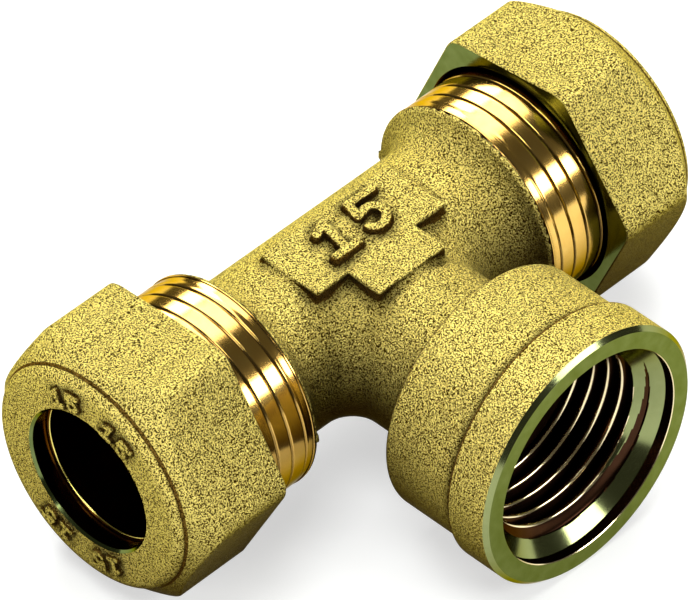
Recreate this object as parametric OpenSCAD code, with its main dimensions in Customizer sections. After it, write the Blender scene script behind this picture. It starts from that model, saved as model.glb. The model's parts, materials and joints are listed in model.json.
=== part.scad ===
/* [Tube and waterway] */
// Outside diameter of the tube that each run end takes
tube_d = 15; // [13.5:0.1:15.4]
// Gap all round between the tube and the bores that it enters
tube_gap = 0.1; // [0.05:0.01:0.2]
// Diameter of the waterway through the run and the branch
waterway_d = 12.6; // [11:0.1:13.2]

/* [Run of the body] */
// Outside diameter of the plain barrel between the run ends
barrel_d = 17.5; // [17.3:0.1:18.5]
// Centre of the tee to the stop that the tube meets
stop_x = 15.5; // [14:0.1:17]
// Centre of the tee to the outer edge of the forged shoulder
shoulder_x = 16.3; // [15.6:0.1:18]
// Diameter of the forged shoulder
shoulder_d = 23; // [22.8:0.1:24.5]
// Radius of the round on the shoulder's edge
shoulder_round = 0.5; // [0.3:0.1:1.5]
// Radius of the hollow between the barrel and the shoulder
shoulder_hollow = 3.2; // [2.6:0.1:4]
// Width of the straight rim that ends the shoulder
shoulder_rim = 0.2; // [0.1:0.05:0.6]
// Centre of the tee to the end face of the threaded spigot
spigot_x = 27.8; // [26.5:0.1:28.6]
// Diameter over the crests of the spigot's thread
spigot_d = 22.9; // [22:0.1:22.9]
// Chamfer at the end of the spigot
spigot_chamfer = 0.8; // [0.3:0.1:1.2]

/* [Branch of the body] */
// Outside diameter of the neck between the barrel and the collar
neck_d = 17.2; // [16:0.1:17.3]
// Radius of the blend where the neck meets the barrel
crotch_r = 2.6; // [1.5:0.1:5]
// Run axis to the face of the branch's mouth
branch_len = 31.5; // [30.5:0.1:34]
// Run axis to the back of the collar
collar_start = 17.4; // [17:0.1:18]
// Diameter of the collar
collar_d = 26.2; // [25:0.1:27]
// Radius of the hollow between the neck and the collar
collar_hollow = 1.6; // [1:0.1:2]
// Radius of the round on the collar's back edge
collar_round = 0.9; // [0.4:0.1:1.5]
// Length of the thicker band that ends at the mouth
band_len = 5; // [4:0.1:6.5]
// Diameter of the band
band_d = 27.7; // [27.2:0.1:28.6]
// Length of the slope from the collar up to the band
band_slope = 0.4; // [0.2:0.1:0.8]
// Chamfer round the outside of the mouth
mouth_outer_chamfer = 0.45; // [0.2:0.05:0.8]
// Diameter of the shallow recess in the mouth
recess_d = 23; // [22:0.1:24]
// Depth of that recess, down to the countersink of the branch thread
recess_len = 1.1; // [0.6:0.05:2]
// Diameter of the branch thread at its crests
thread_d = 18.64; // [17.6:0.02:19]
// Depth of the branch thread from the face of the mouth
thread_len = 12.3; // [10:0.1:12.8]

/* [Pad on the body] */
// Height of the flat pad above the run axis
pad_top = 9.1; // [8.95:0.05:9.6]
// Length of the pad along the run
pad_len = 17.2; // [14:0.1:20]
// Width of the pad's arm over the neck
pad_w = 9; // [6:0.1:11]
// Run axis to the pad's front edge beside that arm
pad_front = 4.5; // [3:0.1:5.5]
// Run axis to the pad's back edge
pad_back = 3.2; // [2:0.1:4.2]
// Run axis to the front edge of the arm over the neck
pad_reach = 8.6; // [7:0.1:11]

/* [Nuts] */
// Width of the hexagon across its flats
nut_af = 26; // [25.4:0.1:28]
// Length of a nut
nut_len = 12; // [11.4:0.1:13.5]
// Centre of the tee to the back of a nut that is hand tight
nut_back_x = 23; // [22:0.1:23.6]
// Amount turned off each corner of the hexagon
nut_corner = 0.35; // [0.1:0.05:0.8]
// Diameter of the raised ring on a nut's front, inside its chamfer
nut_ring_d = 24.2; // [22:0.1:24.8]
// Radius of the round on that ring's edge, from its face to its foot
nut_ring_round = 1.2; // [0.6:0.1:1.6]
// Depth of the countersink at a nut's back
nut_sink = 0.5; // [0.2:0.05:0.8]
// Gap all round between a nut and the spigot
nut_gap = 0.05; // [0.02:0.01:0.09]
// Room in front of the spigot that is left for tightening
nut_room = 1.7; // [1:0.1:1.9]
// Angle that the left nut's flats stand off level
left_turn = 2.5; // [0:0.5:27]
// Angle that the right nut's flats stand off level
right_turn = 6.5; // [0:0.5:27]

/* [Olives] */
// Greatest diameter of an olive
olive_d = 17.8; // [17.2:0.05:18.4]
// Diameter of an olive at its two ends
olive_end_d = 16; // [15.8:0.05:16.4]
// Length of an olive
olive_len = 7; // [6.4:0.1:7.4]
// Length of each of its tapers
olive_taper = 2.4; // [1.8:0.1:2.8]
// Gap between an olive and each of its seats
olive_gap = 0.06; // [0.03:0.01:0.1]
// Length of an olive's belt that the body's seat covers
olive_seated = 0.2; // [0.1:0.05:0.5]

/* [Hidden] */

// Smooth round faces
$fn = 96;
// Straight pieces in one arc of an outline
arc_steps = 8;
// Sections round the crotch blend, and straight pieces across it
blend_sections = 48;
blend_steps = 6;
// Depth that the blend sinks into the barrel and the neck
blend_sink = 0.04;
// Share of the ball's radius that the blend reaches below its corner
blend_root = 0.2;
// Length by which a cut runs past a face
past = 1;
// Half the angle of the drill point under the branch thread
drill_angle = 59;
// Sides of a nut, and half the angle that each spans
nut_sides = 6;
side_half = 180 / nut_sides;
brass = [0.80, 0.66, 0.32];
bright_brass = [0.88, 0.70, 0.34];

// Radii
bore_r = tube_d / 2 + tube_gap;
waterway_r = waterway_d / 2;
barrel_r = barrel_d / 2;
shoulder_r = shoulder_d / 2;
spigot_r = spigot_d / 2;
neck_r = neck_d / 2;
collar_r = collar_d / 2;
band_r = band_d / 2;
recess_r = recess_d / 2;
thread_r = thread_d / 2;
olive_r = olive_d / 2;
olive_end_r = olive_end_d / 2;

// The shoulder's S shaped outline: its steepest angle, its length and where it runs
shoulder_rise = shoulder_r - barrel_r;
shoulder_angle = acos(1 - shoulder_rise / (shoulder_round + shoulder_hollow));
shoulder_len = (shoulder_round + shoulder_hollow) * sin(shoulder_angle);
shoulder_end = shoulder_x - shoulder_rim;
shoulder_start = shoulder_end - shoulder_len;

// Seats of the olives, all on the same taper
taper_slope = (olive_r - olive_end_r) / olive_taper;
seat_rise = olive_gap * sqrt(1 + taper_slope * taper_slope);
olive_x = spigot_x - olive_seated + olive_len / 2 - olive_taper;
body_seat_r = olive_r + seat_rise + olive_seated * taper_slope;
body_seat_len = (body_seat_r - bore_r) / taper_slope;
nut_floor_x = spigot_x + nut_room;
nut_belt_end = olive_x + olive_len / 2 - olive_taper;
nut_seat_r = olive_r + seat_rise + (nut_belt_end - nut_floor_x) * taper_slope;
nut_seat_len = (nut_seat_r - bore_r) / taper_slope;
nut_face_x = nut_back_x + nut_len;

// Hexagon with its corners turned off
hex_r = nut_af / 2 / cos(side_half);
corner_r = hex_r - nut_corner;
corner_half = side_half - acos(nut_af / 2 / corner_r);
nut_ring_r = nut_ring_d / 2;
nut_foot_x = nut_face_x - nut_ring_round;
nut_bore_r = spigot_r + nut_gap;

// Furthest points of a turned nut below and behind the run axis
function nut_low(turn) = corner_r * cos(max(0, side_half - corner_half - turn));
function nut_back(turn) = corner_r * cos(max(0, min(turn, 2 * side_half - turn) - corner_half));

// The origin is at the bottom centre of the part as it lies
axis_z = max(band_r, nut_low(left_turn), nut_low(right_turn));
run_y = (branch_len - max(nut_back(left_turn), nut_back(right_turn))) / 2;

// Points of an arc, as [radius, distance along the axis]
function arc(centre, r, from, to) = [
    for (i = [0 : arc_steps])
        let (a = from + (to - from) * i / arc_steps)
        centre + r * [cos(a), sin(a)]
];

// Outline of one end of the run, from the centre of the tee outwards
function run_half() = concat(
    arc([barrel_r + shoulder_hollow, shoulder_start], shoulder_hollow, 180, 180 - shoulder_angle),
    arc([shoulder_r - shoulder_round, shoulder_end], shoulder_round, -shoulder_angle, 0),
    [
        [shoulder_r, shoulder_x],
        [spigot_r, shoulder_x],
        [spigot_r, spigot_x - spigot_chamfer],
        [spigot_r - spigot_chamfer, spigot_x],
        [0, spigot_x]
    ]
);

// Outline of the branch, from the run axis to the mouth
function branch_outline() = concat(
    [[0, 0], [neck_r, 0]],
    arc([neck_r + collar_hollow, collar_start - collar_hollow], collar_hollow, 180, 90),
    arc([collar_r - collar_round, collar_start + collar_round], collar_round, -90, 0),
    [
        [collar_r, branch_len - band_len - band_slope],
        [band_r, branch_len - band_len],
        [band_r, branch_len - mouth_outer_chamfer],
        [band_r - mouth_outer_chamfer, branch_len],
        [0, branch_len]
    ]
);

// Outline of the hole in the branch: drill point, thread, 45 degree countersink and the mouth's recess
function branch_hole() = [
    [0, branch_len - thread_len - (thread_r - waterway_r) / tan(drill_angle)],
    [waterway_r, branch_len - thread_len - (thread_r - waterway_r) / tan(drill_angle)],
    [thread_r, branch_len - thread_len],
    [thread_r, branch_len - recess_len - (recess_r - thread_r)],
    [recess_r, branch_len - recess_len],
    [recess_r, branch_len + past],
    [0, branch_len + past]
];

// Outline of the socket in a run end: seat for the olive, then the tube's bore down to its stop
function socket_hole() = [
    [0, stop_x],
    [bore_r, stop_x],
    [bore_r, spigot_x - body_seat_len],
    [body_seat_r, spigot_x],
    [body_seat_r, spigot_x + past],
    [0, spigot_x + past]
];

// Outside of a nut without its flats: turned corners, 45 degree chamfer and the ring with its round edge
function nut_envelope() = concat(
    [
        [0, nut_back_x],
        [corner_r, nut_back_x],
        [corner_r, nut_foot_x - (corner_r - nut_ring_r)]
    ],
    arc([nut_ring_r - nut_ring_round, nut_foot_x], nut_ring_round, 0, 90),
    [[0, nut_face_x]]
);

// Inside of a nut: countersink, threaded bore, floor, olive's seat and the tube's hole
function nut_hole() = [
    [0, nut_back_x - past],
    [nut_bore_r + nut_sink, nut_back_x - past],
    [nut_bore_r + nut_sink, nut_back_x],
    [nut_bore_r, nut_back_x + nut_sink],
    [nut_bore_r, nut_floor_x],
    [nut_seat_r, nut_floor_x],
    [bore_r, nut_floor_x + nut_seat_len],
    [bore_r, nut_face_x + past],
    [0, nut_face_x + past]
];

// Section of an olive
function olive_outline() = [
    [bore_r, olive_x - olive_len / 2],
    [olive_end_r, olive_x - olive_len / 2],
    [olive_r, olive_x - olive_len / 2 + olive_taper],
    [olive_r, olive_x + olive_len / 2 - olive_taper],
    [olive_end_r, olive_x + olive_len / 2],
    [bore_r, olive_x + olive_len / 2]
];

// Ball that rolls in the crotch, at an angle round the neck: its centre, and the corner that it fills
ball_neck = neck_r + crotch_r - blend_sink;
ball_barrel = barrel_r + crotch_r - blend_sink;
function ball(a) = [
    ball_neck * cos(a),
    -sqrt(pow(ball_barrel, 2) - pow(ball_neck * sin(a), 2)),
    ball_neck * sin(a)
];
function corner(a) = [
    neck_r * cos(a),
    -sqrt(pow(barrel_r, 2) - pow(neck_r * sin(a), 2)),
    neck_r * sin(a)
];
function unit(v) = v / norm(v);

// Direction part of the way along the arc between two directions
function turned(from, to, part) =
    let (spread = acos(from * to))
    (sin((1 - part) * spread) * from + sin(part * spread) * to) / sin(spread);

// One section of the blend: an arc of the ball from the barrel to the neck, and a point below the corner
function blend_section(a) =
    let (
        centre = ball(a),
        on_barrel = unit([0, -centre[1], -centre[2]]),
        on_neck = unit([-centre[0], 0, -centre[2]])
    )
    concat(
        [for (i = [0 : blend_steps]) centre + crotch_r * turned(on_barrel, on_neck, i / blend_steps)],
        [corner(a) + blend_root * (corner(a) - centre)]
    );

// Puts a shape made about the crossing of the axes in its place
module on_axes() {
    translate([0, run_y, axis_z]) children();
}

// Turns an outline round the run axis, outwards to the right
module turn_run(points) {
    rotate([90, 0, 90]) rotate_extrude() polygon(points);
}

// Turns an outline round the branch axis, outwards to the front
module turn_branch(points) {
    rotate([90, 0, 0]) rotate_extrude() polygon(points);
}

// Repeats a shape on the other end of the run
module both_ends() {
    children();
    mirror([1, 0, 0]) children();
}

// Smooth blend all round the foot of the neck
module crotch_blend() {
    ring = blend_steps + 2;
    points = [
        for (i = [0 : blend_sections - 1])
            each blend_section((i + 0.5) * 360 / blend_sections)
    ];
    faces = [
        for (i = [0 : blend_sections - 1])
            for (j = [0 : ring - 1])
                let (
                    next_i = (i + 1) % blend_sections,
                    next_j = (j + 1) % ring,
                    a = i * ring + j,
                    b = i * ring + next_j,
                    c = next_i * ring + next_j,
                    d = next_i * ring + j
                )
                each [[a, b, c], [a, c, d]]
    ];
    polyhedron(points, faces);
}

// Flat T shaped pad over the run and the neck
module pad() {
    translate([0, 0, waterway_r])
        linear_extrude(pad_top - waterway_r) {
            translate([-pad_len / 2, -pad_front]) square([pad_len, pad_front + pad_back]);
            translate([-pad_w / 2, -pad_reach]) square([pad_w, pad_reach]);
        }
}

// Forged body, machined at its three ends
module tee_body() {
    half = run_half();
    whole = concat(half, [for (i = [len(half) - 1 : -1 : 0]) [half[i][0], -half[i][1]]]);
    color(brass) on_axes() difference() {
        union() {
            turn_run(whole);
            turn_branch(branch_outline());
            crotch_blend();
            pad();
        }
        rotate([0, 90, 0]) cylinder(r = waterway_r, h = 2 * (spigot_x + past), center = true);
        rotate([90, 0, 0]) cylinder(r = waterway_r, h = branch_len);
        turn_branch(branch_hole());
        both_ends() turn_run(socket_hole());
    }
}

// Compression nut on the right end, its flats turned off level
module nut(turn) {
    difference() {
        intersection() {
            translate([nut_back_x, 0, 0])
                rotate([90 - turn, 0, 0])
                    rotate([0, 90, 0])
                        cylinder(r = hex_r, h = nut_len, $fn = nut_sides);
            turn_run(nut_envelope());
        }
        turn_run(nut_hole());
    }
}

module left_nut() {
    color(brass) on_axes() mirror([1, 0, 0]) nut(left_turn);
}

module right_nut() {
    color(brass) on_axes() nut(right_turn);
}

module left_olive() {
    color(bright_brass) on_axes() mirror([1, 0, 0]) turn_run(olive_outline());
}

module right_olive() {
    color(bright_brass) on_axes() turn_run(olive_outline());
}

tee_body();
left_nut();
right_nut();
left_olive();
right_olive();
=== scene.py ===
import json
import math

import bmesh
import bpy
import numpy as np
from mathutils import Matrix, Vector


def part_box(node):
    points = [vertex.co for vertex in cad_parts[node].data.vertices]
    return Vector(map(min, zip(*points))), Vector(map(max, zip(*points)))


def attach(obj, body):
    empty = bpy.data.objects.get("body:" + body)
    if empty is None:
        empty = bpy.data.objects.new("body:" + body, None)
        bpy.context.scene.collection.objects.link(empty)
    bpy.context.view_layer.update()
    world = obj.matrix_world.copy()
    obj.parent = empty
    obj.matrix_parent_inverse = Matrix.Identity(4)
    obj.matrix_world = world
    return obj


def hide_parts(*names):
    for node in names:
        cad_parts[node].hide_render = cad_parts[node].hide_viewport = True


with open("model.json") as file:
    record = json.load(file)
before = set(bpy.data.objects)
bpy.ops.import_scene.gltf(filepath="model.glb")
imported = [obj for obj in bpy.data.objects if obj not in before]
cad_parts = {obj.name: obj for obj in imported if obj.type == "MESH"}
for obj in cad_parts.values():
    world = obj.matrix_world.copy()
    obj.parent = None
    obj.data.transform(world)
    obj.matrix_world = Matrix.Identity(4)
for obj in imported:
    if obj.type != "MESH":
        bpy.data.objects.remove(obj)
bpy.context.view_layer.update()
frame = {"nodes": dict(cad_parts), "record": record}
print("frame loaded:", sorted(frame["nodes"]))

# Lengths below are in millimetres from the point where the run and the branch cross
mm = 0.001
mounts = {m["name"]: m for m in frame["record"]["mounts"]}
socket, branchThread = mounts["left_tube_socket"], mounts["branch_thread"]
crossing = np.array([0.0, socket["pos_m"][1], socket["pos_m"][2]])
bodyLow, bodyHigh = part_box("tee_body")
nutLow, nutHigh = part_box("right_nut")
tee = {
    "tubeBore": socket["dims"]["r_mm"],
    "waterway": 6.3,
    "stop": 15.5,  # where the tube ends
    "spigotEnd": bodyHigh.x / mm,
    "mouth": (crossing[1] - bodyLow.y) / mm,
    "band": (bodyHigh.z - bodyLow.z) / 2 / mm,
    "pitch": 1.814,  # all threads, 14 to the inch
}
fullTurn = 2 * math.pi


# Small tools for meshes

def arcPoints(centre, radius, start, end, count=8):
    angles = np.radians(np.linspace(start, end, count + 1))
    return [(centre[0] + radius * math.cos(a), centre[1] + radius * math.sin(a)) for a in angles]


def placed(along, radius, angle, way):
    # a turned point: distance along the axis, radius and angle, for the end that way names
    up, side = radius * np.sin(angle), radius * np.cos(angle)
    if way == "branch":
        local = np.stack([side, -along, up], -1)
    else:
        local = np.stack([along if way == "right" else -along, side, up], -1)
    return crossing + local * mm


def addPiece(name, mesh, materials, body, slot, *nodes):
    piece = bpy.data.objects.new(name, mesh)
    bpy.context.scene.collection.objects.link(piece)
    for material in materials:
        mesh.materials.append(material)
    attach(piece, body)
    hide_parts(*nodes)
    return piece


def placesOf(finishes):
    return {label: place for place, label in enumerate(finishes)}


def gridMesh(name, points, materials, sharpAngle=32, merge=0.002):
    # rows of points, the last column on the first one, as one closed skin of quads
    rows, columns = points.shape[:2]
    index = np.arange(rows * columns).reshape(rows, columns)
    quads = np.stack([index[:-1, :-1], index[:-1, 1:], index[1:, 1:], index[1:, :-1]], -1)
    mesh = bpy.data.meshes.new(name)
    mesh.from_pydata(points.reshape(-1, 3).tolist(), [], quads.reshape(-1, 4).tolist())
    spread = np.broadcast_to(np.reshape(materials, (rows - 1, -1)), (rows - 1, columns - 1))
    mesh.polygons.foreach_set("material_index", spread.ravel().astype(np.int32))
    work = bmesh.new()
    work.from_mesh(mesh)
    bmesh.ops.remove_doubles(work, verts=work.verts, dist=merge * mm)
    bmesh.ops.dissolve_degenerate(work, edges=work.edges, dist=merge * mm)
    bmesh.ops.recalc_face_normals(work, faces=work.faces)
    work.to_mesh(mesh)
    work.free()
    mesh.polygons.foreach_set("use_smooth", np.ones(len(mesh.polygons), bool))
    mesh.set_sharp_from_angle(angle=math.radians(sharpAngle))
    return mesh


def threadShape(phase, crestShare, rootShare):
    # height of a thread from 0 at the root to 1 at the crest, with round crest and root
    ramp = 1 - np.abs(2 * (phase % 1.0) - 1)
    flank = np.clip((ramp - rootShare) / (1 - crestShare - rootShare), 0, 1)
    return flank * flank * (3 - 2 * flank) * 0.35 + flank * 0.65


# Node groups that several finishes share

def newGroup(name, inputs, outputs):
    group = bpy.data.node_groups.new(name, "ShaderNodeTree")
    for label, kind in inputs:
        group.interface.new_socket(label, in_out="INPUT", socket_type=kind)
    for label, kind in outputs:
        group.interface.new_socket(label, in_out="OUTPUT", socket_type=kind)
    return group, group.nodes.new("NodeGroupInput"), group.nodes.new("NodeGroupOutput")


def addNode(tree, kind, values=None, **settings):
    node = tree.nodes.new(kind)
    for key, value in settings.items():
        setattr(node, key, value)
    for key, value in (values or {}).items():
        node.inputs[key].default_value = value
    return node


def rampStops(node, stops):
    ramp = node.color_ramp
    while len(ramp.elements) > len(stops):
        ramp.elements.remove(ramp.elements[-1])
    while len(ramp.elements) < len(stops):
        ramp.elements.new(1.0)
    for element, (place, colour) in zip(ramp.elements, stops):
        element.position = place
        element.color = (*colour, 1) if len(colour) == 3 else colour


def makeBlastGrain():
    # craters and flecks of a shot-blasted skin
    group, start, end = newGroup(
        "blastGrain",
        [("Position", "NodeSocketVector"), ("Size", "NodeSocketFloat")],
        [("Height", "NodeSocketFloat"), ("Fleck", "NodeSocketFloat"), ("Cloud", "NodeSocketFloat")],
    )
    link = group.links.new
    scale = addNode(group, "ShaderNodeMath", {0: 1.0}, operation="DIVIDE")
    link(start.outputs["Size"], scale.inputs[1])
    pits = addNode(group, "ShaderNodeTexVoronoi", feature="SMOOTH_F1")
    pits.inputs["Smoothness"].default_value = 0.4
    link(start.outputs["Position"], pits.inputs["Vector"])
    link(scale.outputs[0], pits.inputs["Scale"])
    fine = addNode(group, "ShaderNodeTexNoise", {"Detail": 2.0, "Roughness": 0.6})
    finer = addNode(group, "ShaderNodeMath", {1: 1.3}, operation="MULTIPLY")
    link(scale.outputs[0], finer.inputs[0])
    link(start.outputs["Position"], fine.inputs["Vector"])
    link(finer.outputs[0], fine.inputs["Scale"])
    height = addNode(group, "ShaderNodeMath", operation="ADD")
    link(pits.outputs["Distance"], height.inputs[0])
    link(fine.outputs["Fac"], height.inputs[1])
    link(height.outputs[0], end.inputs["Height"])
    fleck = addNode(group, "ShaderNodeValToRGB")
    rampStops(fleck, [(0.44, (0, 0, 0)), (0.52, (1, 1, 1))])
    link(fine.outputs["Fac"], fleck.inputs["Fac"])
    link(fleck.outputs["Color"], end.inputs["Fleck"])
    cloud = addNode(group, "ShaderNodeTexNoise", {"Scale": 260.0, "Detail": 3.0})
    link(start.outputs["Position"], cloud.inputs["Vector"])
    link(cloud.outputs["Fac"], end.inputs["Cloud"])
    return group


def makeTurningMarks():
    # fine rings that a lathe tool leaves round an axis, on cylinders and on faces
    group, start, end = newGroup(
        "turningMarks",
        [("Position", "NodeSocketVector"), ("Axis", "NodeSocketVector"), ("Spacing", "NodeSocketFloat")],
        [("Height", "NodeSocketFloat"), ("Streak", "NodeSocketFloat")],
    )
    link = group.links.new
    along = addNode(group, "ShaderNodeVectorMath", operation="DOT_PRODUCT")
    link(start.outputs["Position"], along.inputs[0])
    link(start.outputs["Axis"], along.inputs[1])
    onAxis = addNode(group, "ShaderNodeVectorMath", operation="SCALE")
    link(start.outputs["Axis"], onAxis.inputs[0])
    link(along.outputs["Value"], onAxis.inputs["Scale"])
    outward = addNode(group, "ShaderNodeVectorMath", operation="SUBTRACT")
    link(start.outputs["Position"], outward.inputs[0])
    link(onAxis.outputs[0], outward.inputs[1])
    radius = addNode(group, "ShaderNodeVectorMath", operation="LENGTH")
    link(outward.outputs[0], radius.inputs[0])
    travel = addNode(group, "ShaderNodeMath", operation="ADD")
    link(along.outputs["Value"], travel.inputs[0])
    link(radius.outputs["Value"], travel.inputs[1])
    steps = addNode(group, "ShaderNodeMath", operation="DIVIDE")
    link(travel.outputs[0], steps.inputs[0])
    link(start.outputs["Spacing"], steps.inputs[1])
    rings = addNode(group, "ShaderNodeTexNoise", {"Scale": 1.0, "Detail": 3.0}, noise_dimensions="1D")
    link(steps.outputs[0], rings.inputs["W"])
    link(rings.outputs["Fac"], end.inputs["Height"])
    smear = addNode(group, "ShaderNodeTexNoise", {"Scale": 700.0, "Detail": 2.0})
    link(start.outputs["Position"], smear.inputs["Vector"])
    link(smear.outputs["Fac"], end.inputs["Streak"])
    return group


blastGrain = makeBlastGrain()
turningMarks = makeTurningMarks()


def newMaterial(name, metallic, edge=(1, 1, 1)):
    material = bpy.data.materials.new(name)
    material.use_nodes = True
    tree = material.node_tree
    shader = tree.nodes["Principled BSDF"]
    shader.inputs["Metallic"].default_value = metallic
    shader.inputs["Specular Tint"].default_value = (*edge, 1)  # of a metal seen at a flat angle
    return material, tree, shader


def placeGroup(tree, group, values):
    node = addNode(tree, "ShaderNodeGroup", node_tree=group)
    for key, value in values.items():
        node.inputs[key].default_value = value
    return node


def fromCrossing(tree):
    # position measured from the crossing of the two axes
    coordinates = tree.nodes.new("ShaderNodeTexCoord")
    shift = addNode(tree, "ShaderNodeVectorMath", operation="SUBTRACT")
    shift.inputs[1].default_value = crossing
    tree.links.new(coordinates.outputs["Object"], shift.inputs[0])
    return shift.outputs[0]


forged = {
    "size": 0.0002,  # one crater, in metres
    "pale": (1.0, 0.83, 0.22),
    "deep": (0.06, 0.03, 0.0),
    "edge": (0.34, 0.30, 0.08),
    # colour of the painted shade in crevices and low down near the table
    "shadeColour": (0.03, 0.017, 0.004),
    "nearReach": 0.0011,
    "farReach": 0.08,
    "open": (0.15, 0.95),
    "roughness": (0.36, 0.52),
    "depth": 0.00018,
    "strength": 1.0,
}
# painted shade: a dark copy of the forged brass for the walls of the pad and the numbers, the collar's back
# edge, the band's step and the ring's foot on the nuts
shadedForged = {**forged, "pale": (0.26, 0.15, 0.03), "deep": (0.05, 0.025, 0.003)}
creviceRange = (0.66, 0.98)  # from a closed corner to a free face


def addPaintedShade(tree, settings, colour):
    # painted shade: darkens a colour where little light gets in, in crevices and low down near the table
    link = tree.links.new
    near = addNode(tree, "ShaderNodeAmbientOcclusion", {"Distance": settings["nearReach"]}, samples=6)
    far = addNode(tree, "ShaderNodeAmbientOcclusion", {"Distance": settings["farReach"]}, samples=8)
    crevice = addNode(tree, "ShaderNodeMapRange")
    crevice.inputs["From Min"].default_value, crevice.inputs["From Max"].default_value = creviceRange
    link(near.outputs["AO"], crevice.inputs["Value"])
    both = addNode(tree, "ShaderNodeMath", operation="MULTIPLY")
    link(crevice.outputs["Result"], both.inputs[0])
    link(far.outputs["AO"], both.inputs[1])
    unshaded = addNode(tree, "ShaderNodeMapRange", interpolation_type="SMOOTHSTEP")
    unshaded.inputs["From Min"].default_value, unshaded.inputs["From Max"].default_value = settings["open"]
    link(both.outputs[0], unshaded.inputs["Value"])
    shadeMix = addNode(tree, "ShaderNodeMix", data_type="RGBA")
    shadeMix.inputs["A"].default_value = (*settings["shadeColour"], 1)
    link(colour, shadeMix.inputs["B"])
    link(unshaded.outputs["Result"], shadeMix.inputs["Factor"])
    return shadeMix


def addTone(tree, settings, factor):
    # from the deep colour to the pale one
    tone = addNode(tree, "ShaderNodeMix", data_type="RGBA")
    tone.inputs["A"].default_value = (*settings["deep"], 1)
    tone.inputs["B"].default_value = (*settings["pale"], 1)
    tree.links.new(factor, tone.inputs["Factor"])
    return tone


def addRelief(tree, shader, settings, gloss, height):
    # roughness and bump
    link = tree.links.new
    rough = addNode(tree, "ShaderNodeMapRange")
    rough.inputs["To Min"].default_value, rough.inputs["To Max"].default_value = settings["roughness"]
    link(gloss, rough.inputs["Value"])
    link(rough.outputs["Result"], shader.inputs["Roughness"])
    bump = addNode(tree, "ShaderNodeBump", {"Distance": settings["depth"]})
    bump.inputs["Strength"].default_value = settings["strength"]
    link(height, bump.inputs["Height"])
    link(bump.outputs["Normal"], shader.inputs["Normal"])


def makeForgedBrass(name, settings):
    material, tree, shader = newMaterial(name, 1.0, settings["edge"])
    link = tree.links.new
    grain = placeGroup(tree, blastGrain, {"Size": settings["size"]})
    link(fromCrossing(tree), grain.inputs["Position"])
    tone = addTone(tree, settings, grain.outputs["Fleck"])
    # painted shade: darker in crevices and low down near the table
    shadeMix = addPaintedShade(tree, settings, tone.outputs["Result"])
    link(shadeMix.outputs["Result"], shader.inputs["Base Color"])
    addRelief(tree, shader, settings, grain.outputs["Cloud"], grain.outputs["Height"])
    return material


def makeTurnedBrass(name, settings):
    material, tree, shader = newMaterial(name, 1.0, settings["edge"])
    link = tree.links.new
    marks = placeGroup(tree, turningMarks, {"Axis": settings["axis"], "Spacing": settings["spacing"]})
    link(fromCrossing(tree), marks.inputs["Position"])
    tone = addTone(tree, settings, marks.outputs["Streak"])
    # painted shade: darker in crevices and low down near the table
    if settings["paintShade"]:
        tone = addPaintedShade(tree, settings, tone.outputs["Result"])
    link(tone.outputs["Result"], shader.inputs["Base Color"])
    addRelief(tree, shader, settings, marks.outputs["Height"], marks.outputs["Height"])
    return material


turned = {
    "axis": (1, 0, 0),
    "spacing": 0.00012,
    "pale": (0.88, 0.58, 0.16),
    "deep": (0.78, 0.45, 0.10),
    "edge": (0.55, 0.45, 0.20),
    "roughness": (0.10, 0.18),
    "depth": 0.000006,
    "strength": 0.5,
    # the next two lines: painted shade in crevices and near the table, and its colour
    "paintShade": True,
    "shadeColour": (0.05, 0.03, 0.01),
    "nearReach": 0.0005,
    "farReach": 0.03,
    "open": (0.10, 0.80),
}
plain = {**turned, "paintShade": False}
branch = {**plain, "axis": (0, 1, 0)}
# painted reflection: dark olive copies of the brass for faces, standing in for dark green surroundings seen
# in them
facedReflect = {**branch, "pale": (0.17, 0.21, 0.08), "deep": (0.09, 0.12, 0.035), "roughness": (0.14, 0.24)}
nutFacedReflect = {**facedReflect, "axis": (1, 0, 0), "roughness": (0.08, 0.16)}
# painted reflection: dark olive brass for the outer chamfer and the countersink
countersunkReflect = {**branch, "pale": (0.27, 0.30, 0.13), "deep": (0.20, 0.23, 0.09), "roughness": (0.10, 0.16)}
# painted highlight: a pale copy of the turned brass for thread crests and the mouth's inner edge
crestedHighlight = {**branch, "pale": (0.92, 0.80, 0.52), "deep": (0.84, 0.68, 0.38), "roughness": (0.10, 0.18)}
# painted shade: dark brown brass for bores and holes
boredShade = {**plain, "pale": (0.13, 0.055, 0.02), "deep": (0.07, 0.028, 0.012), "roughness": (0.12, 0.22)}
# painted shade: near-black brass inside the branch's thread
rootedShade = {**branch, "pale": (0.055, 0.024, 0.012), "deep": (0.03, 0.013, 0.007), "roughness": (0.18, 0.30)}
ringTurned = {**plain, "pale": (0.80, 0.70, 0.20), "deep": (0.70, 0.58, 0.14), "roughness": (0.08, 0.16)}

forgedBrass = makeForgedBrass("forgedBrass", forged)
# painted shade, made as a dark copy of the forged brass
paintedShadeBrass = makeForgedBrass("paintedShadeBrass", shadedForged)
turnedBrass = makeTurnedBrass("turnedBrass", turned)
facedReflectBrass = makeTurnedBrass("facedReflectBrass", facedReflect)
nutFaceReflectBrass = makeTurnedBrass("nutFaceReflectBrass", nutFacedReflect)
countersinkBrass = makeTurnedBrass("countersinkBrass", countersunkReflect)
crestHighlightBrass = makeTurnedBrass("crestHighlightBrass", crestedHighlight)
boreShadeBrass = makeTurnedBrass("boreShadeBrass", boredShade)
rootShadeBrass = makeTurnedBrass("rootShadeBrass", rootedShade)
oliveBrass = makeTurnedBrass("oliveBrass", ringTurned)
print("finishes made:", len(bpy.data.materials))


# Forged skin of the body: barrel, shoulders, neck and pad, blended as the die leaves them

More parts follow.
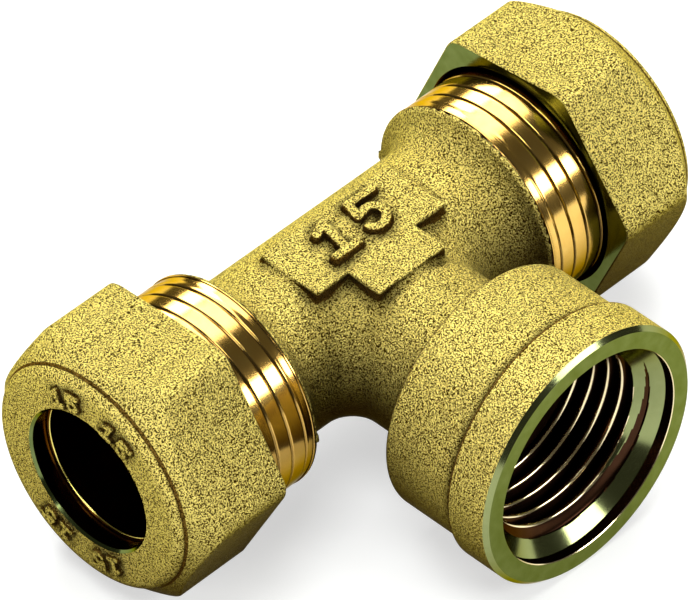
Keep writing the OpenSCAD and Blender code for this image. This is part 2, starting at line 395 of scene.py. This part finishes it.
skin = {
    "barrel": 8.75,
    "shoulder": 11.5,
    "shoulderEnd": 16.3,
    "rim": 0.2,
    "runEnd": 16.15,  # inside the spigot's rim
    "hollow": 3.2,
    "edge": 0.5,
    "neck": 8.6,
    "crotch": 2.6,
    "collarStart": 17.4,
    "collarHollow": 1.6,
    "skinEnd": 18.6,  # inside the collar
    "flashWidth": 0.45,  # trimmed flash at the parting plane of the shoulders
    "flashHeight": 0.3,
    "flashStart": 14.9,
    "drillStart": 17.4,
    "drillAngle": 59,
    "clear": 0.1,  # between the skin and a bore's own wall
}
pad = {
    "top": 9.1,
    "length": 17.2,
    "front": 4.5,
    "back": 3.2,
    "armWidth": 9.0,
    "reach": 8.6,
    "corner": 0.35,
    "edge": 0.2,
    "foot": 0.55,
}
number = {  # tube size, raised on the pad
    "height": 4.2,
    "width": 3.7,
    "gap": 2.75,
    "stroke": 1.2,
    "raise": 0.8,
    "draft": 0.35,  # slope of its walls
    "level": 0.4,  # height at which the stroke has its width
    "edge": 0.12,
    "foot": 0.05,
    "lean": 0.2,
    "middle": (0.4, -0.6),
}


def roundUnion(a, b, radius):
    reach = np.hypot(np.maximum(radius - a, 0), np.maximum(radius - b, 0))
    return np.maximum(radius, np.minimum(a, b)) - reach


def roundOverlap(a, b, radius):
    reach = np.hypot(np.maximum(radius + a, 0), np.maximum(radius + b, 0))
    return np.minimum(-radius, np.maximum(a, b)) + reach


def runRadius(along):
    rise, total = skin["shoulder"] - skin["barrel"], skin["hollow"] + skin["edge"]
    angle = math.acos(1 - rise / total)
    end = skin["shoulderEnd"] - skin["rim"]
    start = end - total * math.sin(angle)
    meet = start + skin["hollow"] * math.sin(angle)
    bell = skin["barrel"] + skin["hollow"]
    bell = bell - np.sqrt(np.maximum(skin["hollow"] ** 2 - (along - start) ** 2, 0))
    lip = skin["shoulder"] - skin["edge"] + np.sqrt(np.maximum(skin["edge"] ** 2 - (along - end) ** 2, 0))
    outline = np.where(along < meet, bell, np.where(along < end, lip, skin["shoulder"]))
    return np.where(along < start, skin["barrel"], outline)


def rectangle(x, y, halfX, halfY, corner):
    outX, outY = np.abs(x) - halfX + corner, np.abs(y) - halfY + corner
    beyond = np.hypot(np.maximum(outX, 0), np.maximum(outY, 0))
    return beyond + np.minimum(np.maximum(outX, outY), 0) - corner


def digitStrokes(settings):
    # the strokes of a one and a five, each a list of points
    half, wide = settings["height"] / 2, settings["width"] / 2
    bowl = arcPoints((-0.1 * wide, -0.36 * half), 0.64 * half, 128, -150, 14)
    one = [[(0, -half), (0, half), (-0.75 * wide, 0.6 * half)], [(-0.8 * wide, -half), (0.8 * wide, -half)]]
    five = [[(wide, half), (-0.72 * wide, half), (-0.8 * wide, 0.1 * half)], bowl]
    middleX, middleY = settings["middle"]
    return [
        [(middleX + shift + x + settings["lean"] * y, middleY + y) for x, y in stroke]
        for shift, strokes in ((-settings["gap"], one), (settings["gap"] * 0.75, five))
        for stroke in strokes
    ]


def strokeDistance(x, y, strokes):
    nearest = np.full(np.broadcast(x, y).shape, 1e3)
    for stroke in strokes:
        for (ax, ay), (bx, by) in zip(stroke[:-1], stroke[1:]):
            spanX, spanY = bx - ax, by - ay
            share = ((x - ax) * spanX + (y - ay) * spanY) / (spanX**2 + spanY**2)
            share = np.clip(share, 0, 1)
            nearest = np.minimum(nearest, np.hypot(x - ax - share * spanX, y - ay - share * spanY))
    return nearest


raisedStrokes = digitStrokes(number)


def skinField(x, y, z):
    # less than zero inside the metal
    alongRun, alongBranch = np.abs(x), -y
    runOut, branchOut = np.hypot(y, z), np.hypot(x, z)
    run = runOut - runRadius(alongRun)
    collar = skin["collarStart"] - alongBranch
    neck = roundUnion(branchOut - skin["neck"], collar, skin["collarHollow"])
    neck = np.maximum(neck, branchOut - skin["neck"] - skin["collarHollow"])
    neck = np.maximum(np.maximum(neck, alongBranch - skin["skinEnd"]), -alongBranch)
    metal = roundUnion(run, neck, skin["crotch"])
    flash = np.maximum(np.abs(z) - skin["flashWidth"], skin["flashStart"] - alongRun)
    flash = np.maximum(flash, run - skin["flashHeight"])
    metal = roundUnion(metal, flash, skin["flashHeight"] / 2)
    bar = rectangle(
        x, y + (pad["front"] - pad["back"]) / 2, pad["length"] / 2,
        (pad["front"] + pad["back"]) / 2, pad["corner"],
    )
    arm = rectangle(x, y + pad["reach"] / 2, pad["armWidth"] / 2, pad["reach"] / 2, pad["corner"])
    plate = roundOverlap(np.minimum(bar, arm), z - pad["top"], pad["edge"])
    plate = np.maximum(plate, tee["waterway"] - z)
    metal = roundUnion(metal, plate, pad["foot"])
    slant = (z - pad["top"] - number["level"]) * number["draft"]
    digits = strokeDistance(x, y, raisedStrokes) - number["stroke"] / 2 + slant
    digits = roundOverlap(digits, z - pad["top"] - number["raise"], number["edge"])
    digits = np.maximum(digits, tee["waterway"] - z)
    metal = roundUnion(metal, digits, number["foot"])
    metal = np.maximum(metal, alongRun - skin["runEnd"])
    bore = np.minimum(runOut, np.where(y < 0, branchOut, runOut)) - tee["waterway"]
    sockets = np.maximum(runOut - tee["tubeBore"] - skin["clear"], tee["stop"] - alongRun)
    slope = math.tan(math.radians(skin["drillAngle"]))
    drill = branchOut - tee["waterway"] - skin["clear"] - (alongBranch - skin["drillStart"]) * slope
    drill = np.maximum(drill / slope, skin["drillStart"] - alongBranch)
    return np.maximum(metal, -np.minimum(np.minimum(bore, sockets), drill))


def axisSteps(*stretches):
    # grid lines of one axis, from stretches of start, end and step
    lines = [np.linspace(a, b, round((b - a) / step), endpoint=False) for a, b, step in stretches]
    return np.concatenate(lines + [np.array([stretches[-1][1]])])


def skinMesh(name, field, axes):
    # surface nets: one point in each grid cell that the surface crosses, then onto the surface itself
    sizes = [len(a) for a in axes]
    grid = [a.reshape([-1 if i == d else 1 for i in range(3)]) for d, a in enumerate(axes)]
    value = field(*grid)
    cells = [n - 1 for n in sizes]
    total, count = np.zeros(cells + [3]), np.zeros(cells)
    crossings = []
    for d in range(3):
        low = [slice(None)] * 3
        high = [slice(None)] * 3
        low[d], high[d] = slice(None, -1), slice(1, None)
        first, second = value[tuple(low)], value[tuple(high)]
        crossed = (first < 0) != (second < 0)
        share = np.where(crossed, first / np.where(crossed, first - second, 1), 0)
        crossings.append((crossed, first < 0))
        others = [i for i in range(3) if i != d]
        for a in (0, 1):
            for b in (0, 1):
                part = [slice(None)] * 3
                part[others[0]] = slice(a, cells[others[0]] + a)
                part[others[1]] = slice(b, cells[others[1]] + b)
                part = tuple(part)
                hit = crossed[part]
                count += hit
                for i in range(3):
                    line = grid[i]
                    if i == d:
                        step = np.diff(axes[d]).reshape(line.shape[:d] + (-1,) + line.shape[d + 1:])
                        place = line[tuple(low)] + share[part] * step
                    else:
                        shift = a if i == others[0] else b
                        place = axes[i][shift:cells[i] + shift].reshape(
                            [-1 if j == i else 1 for j in range(3)])
                    total[..., i] += np.where(hit, place, 0)
    active = count > 0
    points = total[active] / count[active][:, None]
    index = np.full(cells, -1)
    index[active] = np.arange(len(points))
    quads = []
    for d, (crossed, inside) in enumerate(crossings):
        u, v = (d + 1) % 3, (d + 2) % 3
        inner = [slice(None)] * 3
        inner[u], inner[v] = slice(1, -1), slice(1, -1)
        where = np.argwhere(crossed[tuple(inner)])
        where[:, u] += 1
        where[:, v] += 1
        flip = inside[tuple(where.T)]
        corner = []
        for a, b in ((0, 0), (1, 0), (1, 1), (0, 1)):
            cell = where.copy()
            cell[:, u] -= a
            cell[:, v] -= b
            corner.append(index[tuple(cell.T)])
        quad = np.stack(corner, -1)
        quad[~flip] = quad[~flip][:, ::-1]
        quads.append(quad)
    probe = 0.01
    for _ in range(4):
        here = field(*points.T)
        slope = np.stack(
            [
                field(*(points + probe * np.eye(3)[i]).T) - field(*(points - probe * np.eye(3)[i]).T)
                for i in range(3)
            ],
            -1,
        ) / (2 * probe)
        move = here[:, None] * slope / np.maximum((slope**2).sum(1), 1e-4)[:, None]
        points = points - np.clip(move, -0.1, 0.1)
    mesh = bpy.data.meshes.new(name)
    mesh.from_pydata((crossing + points * mm).tolist(), [], np.concatenate(quads).tolist())
    mesh.update()
    mesh.polygons.foreach_set("use_smooth", np.ones(len(mesh.polygons), bool))
    return mesh


coarse, fine, finest = 0.36, 0.19, 0.13  # grid steps; the pad and its number need small ones
skinAxes = [
    axisSteps((-16.7, -9.3, coarse), (-9.3, 9.3, fine), (9.3, 16.7, coarse)),
    axisSteps((-19.1, -9.3, coarse), (-9.3, 4.1, fine), (4.1, 12.3, coarse)),
    axisSteps((-12.3, 7.8, coarse), (7.8, 10.2, finest), (10.2, 12.4, coarse)),
]
# where the walls of the pad and of its number get painted shade
paintedWallShade = {
    "footprint": (9.1, 6.4),  # half sizes of the area round the pad
    "footprintMiddle": -2.7,
    "lowest": 7.7,
    "highest": 8.85,
    "numberFrom": 9.2,
    "numberLevel": 0.86,  # a face less level than this is a wall
    "padLevel": 0.28,  # how much less level than the barrel a wall of the pad is
    "barrelReach": 8.0,
    "barrelRadius": 9.0,
}
# the "bore" and "scale" finishes are painted shade
skinFinishes = {"forged": forgedBrass, "bore": boreShadeBrass, "scale": paintedShadeBrass}


def markSkin(mesh):
    # the waterway and the sockets are drilled and get a dark painted shade; steep walls of the pad and the
    # number get a dark painted shade
    centres, normals = np.empty(len(mesh.polygons) * 3), np.empty(len(mesh.polygons) * 3)
    mesh.polygons.foreach_get("center", centres)
    mesh.polygons.foreach_get("normal", normals)
    x, y, z = ((centres.reshape(-1, 3) - crossing) / mm).T
    reach = tee["waterway"] + skin["clear"]
    drilled = (np.hypot(y, z) < reach) | ((y < 0) & (np.hypot(x, z) < reach))
    socketReach = tee["tubeBore"] + 2 * skin["clear"]
    drilled |= (np.hypot(y, z) < socketReach) & (np.abs(x) > tee["stop"] - skin["clear"])
    level = normals.reshape(-1, 3)[:, 2]
    w, place = paintedWallShade, placesOf(skinFinishes)
    overPad = (z > w["numberFrom"]) & (np.abs(x) < pad["length"] / 2)
    besidePad = rectangle(x, y - w["footprintMiddle"], *w["footprint"], 0) < 0
    besidePad &= (z > w["lowest"]) & (z < w["highest"])
    lean = np.minimum(np.abs(y), w["barrelReach"]) / w["barrelRadius"]  # of the barrel under the pad
    steep = overPad & (level < w["numberLevel"])
    steep |= besidePad & (level < np.sqrt(1 - lean**2) - w["padLevel"])
    finish = np.where(drilled, place["bore"], np.where(steep, place["scale"], place["forged"]))
    mesh.polygons.foreach_set("material_index", finish.astype(np.int32))


skinShape = skinMesh("body_skin", skinField, skinAxes)
markSkin(skinShape)
bodySkin = addPiece("body_skin", skinShape, skinFinishes.values(), "body", "forged_brass", "tee_body")
print("forged skin:", len(bodySkin.data.polygons), "quads")


# Turned spigots with their outside threads

spigot = {
    "crest": 11.45,
    "root": 11.33,
    "plain": 11.40,  # ring between the shoulder and the thread
    "plainEnd": 16.8,
    "rimSoft": 0.06,
    "chamfer": 0.8,
    "runOut": 0.6,
    "seat": 9.04,
    "seatLength": 3.84,
    "hidden": [(8.6, 0.02), (10.9, 0.4)],  # inside the skin: radius, distance from the stop and from the rim
    "crestShare": 0.80,
    "rootShare": 0.02,
    "segments": 256,
    "perPitch": 32,
}


def threadRows(start, end, perPitch):
    first = start - tee["pitch"]
    return np.linspace(first, end, round((end - first) / tee["pitch"] * perPitch) + 1)


def makeSpigot(name, way):
    s = spigot
    angle = np.linspace(0, fullTurn, s["segments"] + 1)
    end, hand = tee["spigotEnd"], 1 if way == "right" else -1
    lead = tee["pitch"] * angle / fullTurn
    rim, rimEnd = skin["shoulder"] + 0.01, skin["shoulderEnd"]
    # the "bore" finish is painted shade
    finishes = {"turned": turnedBrass, "bore": boreShadeBrass}
    place = placesOf(finishes)
    (footRadius, footGap), (rootRadius, rootGap) = s["hidden"]
    foot = tee["stop"] + footGap
    inner = [(tee["tubeBore"], foot), (footRadius, foot), (rootRadius, rimEnd - rootGap)]
    inner += [(rim - s["rimSoft"], rimEnd - skin["rim"]), (rim, rimEnd - skin["rim"] + s["rimSoft"])]
    inner += [(rim, rimEnd - s["rimSoft"]), (rim - s["rimSoft"], rimEnd), (s["plain"], rimEnd)]
    outer = [(s["seat"], end), (tee["tubeBore"], end - s["seatLength"]), inner[0]]
    rows = [placed(np.full_like(angle, a), np.full_like(angle, r), angle, way) for r, a in inner]
    # the inner rows get the dark bore colour, a painted shade
    materials = [place["bore"]] * 3 + [place["turned"]] * 4
    for base in threadRows(s["plainEnd"], end, s["perPitch"]):
        turn = lead if hand > 0 else tee["pitch"] - lead
        along = np.clip(base + turn, s["plainEnd"], end)
        height = threadShape((along - turn) / tee["pitch"], s["crestShare"], s["rootShare"])
        fade = np.clip((along - s["plainEnd"]) / s["runOut"], 0, 1)
        fade = fade * fade * (3 - 2 * fade)
        radius = s["root"] + (s["crest"] - s["root"]) * height
        radius = s["plain"] + (radius - s["plain"]) * fade
        radius = np.minimum(radius, s["crest"] - s["chamfer"] + (end - along))
        rows.append(placed(along, radius, angle, way))
        materials.append(place["turned"])
    # tube seat and bore: dark painted shade
    for r, a in outer:
        rows.append(placed(np.full_like(angle, a), np.full_like(angle, r), angle, way))
        materials.append(place["bore"])
    mesh = gridMesh(name, np.stack(rows), np.array(materials))
    return addPiece(name, mesh, finishes.values(), "body", "forged_brass", "tee_body")


for way in ("left", "right"):
    piece = makeSpigot(way + "_spigot", way)
    print("spigot:", piece.name, len(piece.data.polygons), "faces")


# Collar of the branch with its mouth and inside thread

collar = {
    "radius": 13.1,
    "start": 17.4,
    "round": 0.7,
    "bandLength": 5.0,
    "bandSlope": 0.4,
    "outerChamfer": 0.45,
    "recess": 11.5,
    "recessDepth": 1.1,
    "edge": 0.07,
    "hidden": 9.9,  # inside the skin
    "bandEdge": (0.05, 0.1),  # before and after the band's rounded edge
    "crest": branchThread["dims"]["r_mm"],
    "root": 10.45,
    "threadLength": 12.3,
    "threadShift": 0.3,  # along the axis, so that the crests lie as they were read
    "crestShare": 0.12,
    "rootShare": 0.10,
    # rows of the inside thread higher than this get the pale painted highlight
    "brightFrom": 0.9,
    "segments": 320,
    "perPitch": 32,
    "soften": 0.12,
}


def makeCollar():
    c, mouth, band = collar, tee["mouth"], tee["band"]
    angle = np.linspace(0, fullTurn, c["segments"] + 1)
    drillEnd = mouth - c["threadLength"]
    slope = math.tan(math.radians(skin["drillAngle"]))
    drillRadius = c["crest"] - (drillEnd - c["start"]) * slope
    bandStart = mouth - c["bandLength"]
    # the "scale" and "root" finishes are painted shade, "crest" a painted highlight, and the face and
    # countersink finishes painted reflection
    finishes = {
        "forged": forgedBrass, "facedReflect": facedReflectBrass, "root": rootShadeBrass,
        "scale": paintedShadeBrass, "countersink": countersinkBrass, "crest": crestHighlightBrass,
    }
    place = placesOf(finishes)
    rows, materials = [], []

    def addRow(radius, along, finish):
        rows.append(placed(np.full_like(angle, along), np.full_like(angle, radius), angle, "branch"))
        materials.append(np.full(c["segments"], place[finish]))

    addRow(drillRadius, c["start"], "forged")
    addRow(c["hidden"], c["start"], "forged")
    corner = arcPoints((c["radius"] - c["round"], c["start"] + c["round"]), c["round"], -90, 0)
    # rows in the middle of the collar's back round get painted shade
    for step, (r, a) in enumerate(corner):
        addRow(r, a, "scale" if 2 < step < 6 else "forged")
    before, after = c["bandEdge"]
    addRow(c["radius"], bandStart - c["bandSlope"], "forged")
    # the band's step and its rounded edge get painted shade
    addRow(band - c["soften"], bandStart - before, "scale")
    addRow(band, bandStart + c["soften"], "scale")
    addRow(band, bandStart + c["soften"] + after, "scale")
    addRow(band, mouth - c["outerChamfer"], "forged")
    # outer chamfer of the mouth: dark olive painted reflection
    addRow(band - c["outerChamfer"], mouth, "countersink")
    # mouth face: dark olive painted reflection
    addRow(c["recess"] + c["edge"], mouth, "facedReflect")
    # inner edge of the mouth: pale painted highlight
    addRow(c["recess"], mouth - c["edge"], "crest")
    top = mouth - c["recessDepth"]
    # wall of the recess: near-black painted shade
    addRow(c["recess"], top, "root")
    lead = tee["pitch"] * angle / fullTurn + c["threadShift"]
    for base in threadRows(drillEnd - c["threadShift"], top, c["perPitch"])[::-1]:
        along = np.clip(base + lead, drillEnd, top)
        height = threadShape((along - lead) / tee["pitch"], c["crestShare"], c["rootShare"])
        fade = np.clip((along - drillEnd) / tee["pitch"], 0, 1)
        thread = c["crest"] + (c["root"] - c["crest"]) * (1 - height) * fade
        sink = c["recess"] - (top - along)
        rows.append(placed(along, np.maximum(thread, sink), angle, "branch"))
        # crest rows of the inside thread get the pale painted highlight, the others a near-black painted
        # shade, and the countersink a dark olive painted reflection
        rowHeight = threadShape(np.array([base / tee["pitch"]]), c["crestShare"], c["rootShare"])[0]
        groove = place["crest" if rowHeight > c["brightFrom"] else "root"]
        materials.append(np.where(sink >= thread, place["countersink"], groove)[:-1])
    # end of the drilling: near-black painted shade
    addRow(drillRadius, c["start"], "root")
    mesh = gridMesh("branch_collar", np.stack(rows), np.stack(materials[1:]))
    return addPiece("branch_collar", mesh, finishes.values(), "body", "forged_brass", "tee_body")


branchCollar = makeCollar()
print("collar:", len(branchCollar.data.polygons), "faces")


# Nuts: hexagon, chamfer, raised ring with the tube size, and the hole for the tube

nut = {
    "flat": 13.0,  # half the width across the flats
    "corner": 14.66,
    "cornerSoft": 0.35,
    "edgeSoft": 0.25,
    "backEdge": 0.12,
    "ring": 12.1,
    "round": 1.2,
    "bore": 11.5,
    "sink": 0.5,
    "room": 1.7,
    "seat": 9.08,
    "seatLength": 3.94,
    "lip": 0.25,
    "valley": (0.12, 0.12),  # painted shade line at the ring's foot: length on the chamfer, share of the rounding
    "turns": {"left": 2.5, "right": 6.5},
    "segments": 660,
}
ringNumber = {
    "height": 1.6,
    "width": 1.45,
    "gap": 1.2,
    "stroke": 0.55,
    "raise": 0.35,
    "soft": 0.16,
    "wall": (0.08, 0.95),  # shares of the height between which a number's wall gets painted shade
    "lean": 0.0,
    "middle": (0.0, 0.0),
    "radius": 9.4,
    "angles": (76, 118, 256, 298),
}


def softLeast(a, b, soft):
    share = np.clip(0.5 + 0.5 * (b - a) / soft, 0, 1)
    return b + (a - b) * share - soft * share * (1 - share)


def ringRaise(radius, angle, way):
    # height of the raised numbers over the ring's face
    strokes = digitStrokes(ringNumber)
    raised = np.zeros_like(angle)
    for middle in ringNumber["angles"]:
        swing = (angle - math.radians(middle) + math.pi) % fullTurn - math.pi
        across = swing * radius * (1 if way == "left" else -1)
        distance = strokeDistance(across, np.full_like(angle, radius - ringNumber["radius"]), strokes)
        inward = ringNumber["stroke"] / 2 + ringNumber["soft"] - distance
        share = np.clip(inward / ringNumber["soft"], 0, 1)
        raised = np.maximum(raised, ringNumber["raise"] * share)
    return raised


def makeNut(name, way):
    n = nut
    back, face = nutLow.x / mm, nutHigh.x / mm
    floor = tee["spigotEnd"] + n["room"]
    angle = np.linspace(0, fullTurn, n["segments"] + 1)
    sixth = fullTurn / 6
    around = (angle + math.radians(n["turns"][way])) % sixth - sixth / 2  # from the middle of a flat
    hexagon = softLeast(n["flat"] / np.cos(around), np.full_like(angle, n["corner"]), n["cornerSoft"])
    foot = face - n["round"]
    chamferStart = foot - (n["corner"] - n["ring"])
    faceLevel = face - ringNumber["raise"]
    # the "scale" and "bore" finishes are painted shade, and the face finish a painted reflection
    finishes = {
        "forged": forgedBrass, "facedReflect": nutFaceReflectBrass, "bore": boreShadeBrass,
        "turned": turnedBrass, "scale": paintedShadeBrass,
    }
    place = placesOf(finishes)
    forgedPlace, shadePlace = place["forged"], place["scale"]
    rows, materials = [], []

    def addRow(along, radius, finish):
        along, radius = np.broadcast_to(along, angle.shape), np.broadcast_to(radius, angle.shape)
        rows.append(placed(along, radius, angle, way))
        materials.append(np.broadcast_to(finish, angle.shape)[:-1])

    # back face of the nut: dark olive painted reflection
    addRow(back, n["bore"] + n["sink"], place["facedReflect"])
    addRow(back, hexagon - n["backEdge"], place["facedReflect"])
    addRow(back + n["backEdge"], hexagon, forgedPlace)
    flats, chamfer = np.linspace(back + 0.6, chamferStart - 1.2, 9), np.linspace(chamferStart - 1, foot, 36)
    valleyLength, valleyShare = n["valley"]
    for along in np.concatenate([flats, chamfer]):
        envelope = np.full_like(angle, n["corner"] - max(along - chamferStart, -9))
        # the chamfer's last stretch before the ring's foot gets painted shade
        finish = forgedPlace if along < foot - valleyLength else shadePlace
        addRow(along, softLeast(hexagon, envelope, n["edgeSoft"]), finish)
    lift = n["round"] - ringNumber["raise"]
    for share in np.linspace(0, 1, 13):
        turn = share * math.pi / 2
        radius = n["ring"] - n["round"] * (1 - math.cos(turn))
        # the start of the ring's rounding gets painted shade
        finish = shadePlace if share < valleyShare else forgedPlace
        addRow(faceLevel - lift + lift * math.sin(turn), radius, finish)
    wallLow, wallHigh = (ringNumber["raise"] * share for share in ringNumber["wall"])
    for radius in np.linspace(n["ring"] - n["round"] - 0.1, tee["tubeBore"] + n["lip"], 32):
        raised = ringRaise(radius, angle, way)
        # walls of the raised numbers get painted shade
        wall = (raised > wallLow) & (raised < wallHigh)
        addRow(faceLevel + raised, radius, np.where(wall, shadePlace, forgedPlace))
    # lip of the hole: dark olive painted reflection
    addRow(faceLevel - n["lip"], tee["tubeBore"], place["facedReflect"])
    # inside of the nut's hole: dark painted shade
    addRow(floor + n["seatLength"], tee["tubeBore"], place["bore"])
    addRow(floor, n["seat"], place["bore"])
    addRow(floor, n["bore"], place["bore"])
    addRow(back + n["sink"], n["bore"], place["bore"])
    addRow(back, n["bore"] + n["sink"], place["turned"])
    mesh = gridMesh(name, np.stack(rows), np.stack(materials[1:]))
    return addPiece(name, mesh, finishes.values(), way + "_nut", "nut_brass", way + "_nut")


for way in ("left", "right"):
    piece = makeNut(way + "_nut_shell", way)
    print("nut:", piece.name, len(piece.data.polygons), "faces")


# Olives: the soft rings that the nuts press on the tube

olive = {
    "radius": 8.9,
    "end": 8.0,
    "taper": 2.4,
    "edge": 0.16,
    "endChamfer": 0.06,
    "belt": 0.3,
    "beltFall": 0.05,
    "segments": 160,
}


def makeOlive(way):
    o = olive
    low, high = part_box("right_olive")
    start, end = low.x / mm, high.x / mm
    bore, edge = tee["tubeBore"], o["edge"]
    half = arcPoints((bore + edge, end - edge), edge, 180, 90, 6)
    half += [(o["end"] - o["endChamfer"], end), (o["end"], end - o["endChamfer"])]
    beltMiddle, beltHalf = end - o["taper"], o["belt"] / 2
    half += [(o["radius"] - o["beltFall"], beltMiddle + beltHalf), (o["radius"], beltMiddle - beltHalf)]
    profile = half + [(r, start + end - a) for r, a in half[::-1]] + half[:1]
    angle = np.linspace(0, fullTurn, o["segments"] + 1)
    rows = [placed(np.full_like(angle, a), np.full_like(angle, r), angle, way) for r, a in profile]
    materials = np.zeros(len(rows) - 1)
    # the bore that closes the ring gets the dark painted-shade colour
    materials[-1] = 1  # the bore closes the ring
    mesh = gridMesh(way + "_olive_ring", np.stack(rows), materials)
    finishes = [oliveBrass, boreShadeBrass]
    return addPiece(way + "_olive_ring", mesh, finishes, way + "_carrier", "olive_brass", way + "_olive")


for way in ("left", "right"):
    piece = makeOlive(way)
    print("olive:", piece.name, len(piece.data.polygons), "faces")


# Floor, lights and camera

studio = {
    "floor": (0.60, 0.61, 0.60),
    "floorGlow": 0.58,
    "floorSize": 6.0,
    "world": (0.08, 0.078, 0.065),
    "key": {"place": (0.30, 0.50, 1.0), "size": (1.0, 0.8), "power": 10},
    "back": {"place": (0.75, 0.76, 0.58), "size": (0.6, 0.4), "power": 7.6},
    "front": {"place": (0.46, -0.94, 0.58), "size": (0.65, 0.3), "power": 6.5},
    "left": {"place": (-1.16, 0.01, 0.28), "size": (0.6, 0.5), "power": 6},
    "top": {"place": (-0.30, -0.12, 1.1), "size": (0.5, 0.5), "power": 5},
}
view = {
    "azimuth": -44.454,
    "elevation": 44.02,
    "roll": -1.185,
    "distance": 0.9133,
    "target": (-0.00263, 0.005887, 0.016486),
    "lens": 501.5,
    "shift": (-0.0018, 0.0023),
}


def makeFloor():
    half = studio["floorSize"] / 2
    mesh = bpy.data.meshes.new("floor")
    corners = [(-half, -half, 0), (half, -half, 0), (half, half, 0), (-half, half, 0)]
    mesh.from_pydata(corners, [], [(0, 1, 2, 3)])
    floor = bpy.data.objects.new("floor", mesh)
    bpy.context.scene.collection.objects.link(floor)
    material, tree, shader = newMaterial("paleFloor", 0.0)
    shader.inputs["Base Color"].default_value = (*studio["floor"], 1)
    shader.inputs["Roughness"].default_value = 0.9
    shader.inputs["Specular IOR Level"].default_value = 0.1
    shader.inputs["Emission Color"].default_value = (1, 1, 1, 1)
    path = tree.nodes.new("ShaderNodeLightPath")
    total = path.outputs["Is Camera Ray"]
    for other in ("Is Glossy Ray", "Is Transmission Ray"):
        either = addNode(tree, "ShaderNodeMath", operation="MAXIMUM")
        tree.links.new(total, either.inputs[0])
        tree.links.new(path.outputs[other], either.inputs[1])
        total = either.outputs[0]
    glow = addNode(tree, "ShaderNodeMath", {1: studio["floorGlow"]}, operation="MULTIPLY")
    tree.links.new(total, glow.inputs[0])
    tree.links.new(glow.outputs[0], shader.inputs["Emission Strength"])
    mesh.materials.append(material)


def makeLight(name, place, size, power):
    lamp = bpy.data.lights.new(name, "AREA")
    lamp.shape = "RECTANGLE"
    lamp.size, lamp.size_y = size
    lamp.energy = power
    light = bpy.data.objects.new(name, lamp)
    bpy.context.scene.collection.objects.link(light)
    light.location = place
    light.rotation_mode = "QUATERNION"
    light.rotation_quaternion = (Vector(crossing) - Vector(place)).to_track_quat("-Z", "Y")


def makeCamera():
    azimuth, elevation = math.radians(view["azimuth"]), math.radians(view["elevation"])
    back = Vector((
        math.sin(azimuth) * math.cos(elevation),
        -math.cos(azimuth) * math.cos(elevation),
        math.sin(elevation),
    ))
    lens = bpy.data.cameras.new("camera")
    lens.lens = view["lens"]
    lens.shift_x, lens.shift_y = view["shift"]
    camera = bpy.data.objects.new("camera", lens)
    bpy.context.scene.collection.objects.link(camera)
    camera.rotation_mode = "QUATERNION"
    roll = Matrix.Rotation(math.radians(view["roll"]), 3, back).to_quaternion()
    camera.rotation_quaternion = roll @ (-back).to_track_quat("-Z", "Y")
    camera.location = Vector(view["target"]) + back * view["distance"]
    bpy.context.scene.camera = camera


makeFloor()
for name in ("key", "back", "front", "left", "top"):
    makeLight(name, **studio[name])
makeCamera()
world = bpy.data.worlds.new("studio")
world.use_nodes = True
world.node_tree.nodes["Background"].inputs["Color"].default_value = (*studio["world"], 1)
bpy.context.scene.world = world
bpy.context.scene.view_settings.view_transform = "Standard"
print("studio ready")
